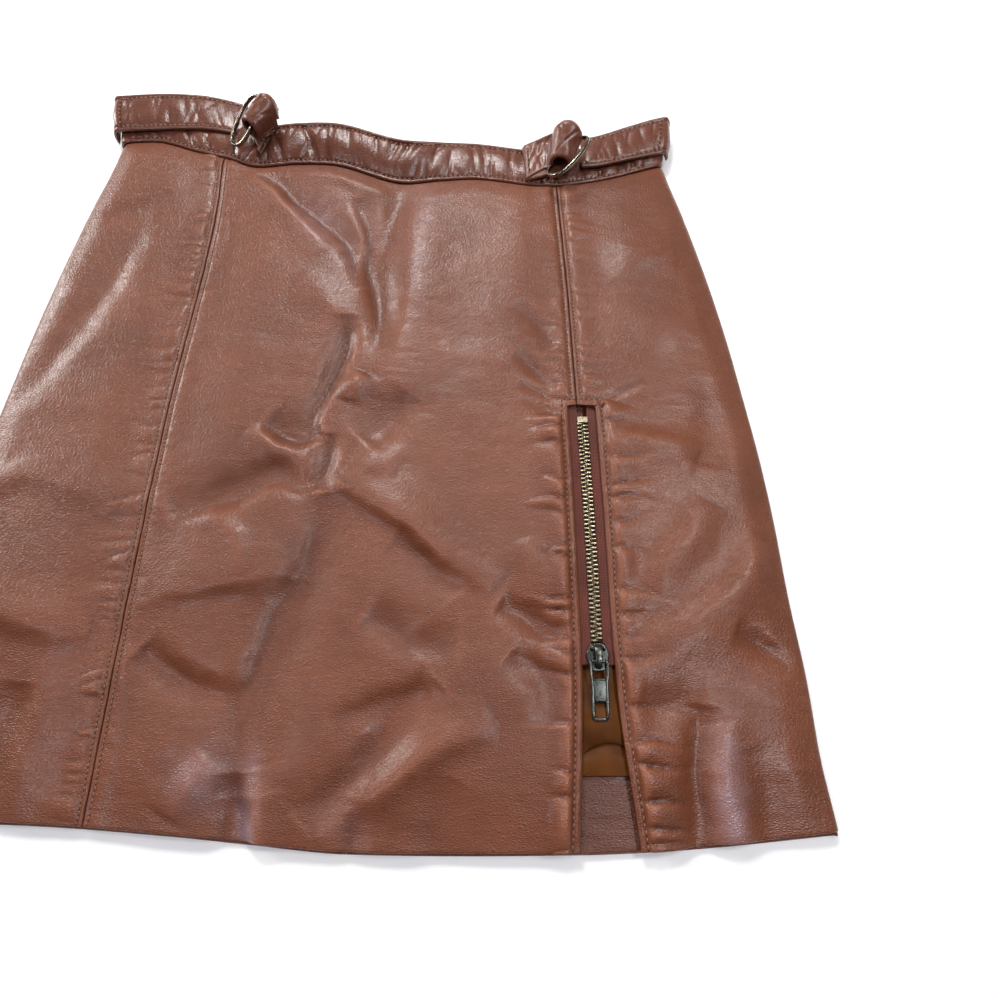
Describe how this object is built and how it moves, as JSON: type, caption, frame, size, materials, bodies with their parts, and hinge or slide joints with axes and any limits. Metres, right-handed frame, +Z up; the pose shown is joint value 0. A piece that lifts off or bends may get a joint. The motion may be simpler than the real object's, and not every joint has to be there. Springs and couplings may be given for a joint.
{
  "type": "leather mini skirt, laid flat",
  "caption": "Leather mini skirt laid flat: princess seams, curved waistband with side belts through rings, and a front zip that ends in an open hem vent.",
  "frame": {"origin": "middle of the footprint, on the surface that the skirt lies on", "axes": "+X across the skirt, to the side of the zip; +Y from the hem to the waist; +Z up from the surface, out of the front"},
  "size_m": [0.412, 0.4042, 0.0311],
  "materials": {
    "leather": "reddish brown grained leather with a soft sheen",
    "satin": "golden orange satin",
    "zip_tape": "reddish brown woven tape",
    "zip_teeth": "antique brass",
    "dark_metal": "dark polished metal"
  },
  "bodies": {
    "skirt": {"front_center": "leather", "front_right": "leather", "front_left": "leather", "back_right": "leather", "back_left": "leather", "waistband_front": "leather", "side_belt_right": "leather", "side_belt_left": "leather", "waistband_back": "leather", "ring_tab_left": "leather", "ring_left": "dark_metal", "ring_tab_right": "leather", "ring_right": "dark_metal", "zip_tape_left": "zip_tape", "zip_tape_right": "zip_tape", "zip_chain": "zip_teeth", "zip_top_stop": "zip_teeth", "zip_slider": "dark_metal", "lining": "satin", "hem_facing": "leather"},
    "pull": {"zip_pull": "dark_metal"}
  },
  "joints": [
    {"name": "pull_hinge", "type": "hinge", "parent": "skirt", "child": "pull", "pos_m": [0.10812, -0.12373, 0.00957], "axis": [-1, 0, 0], "range_deg": [0, 150]}
  ]
}
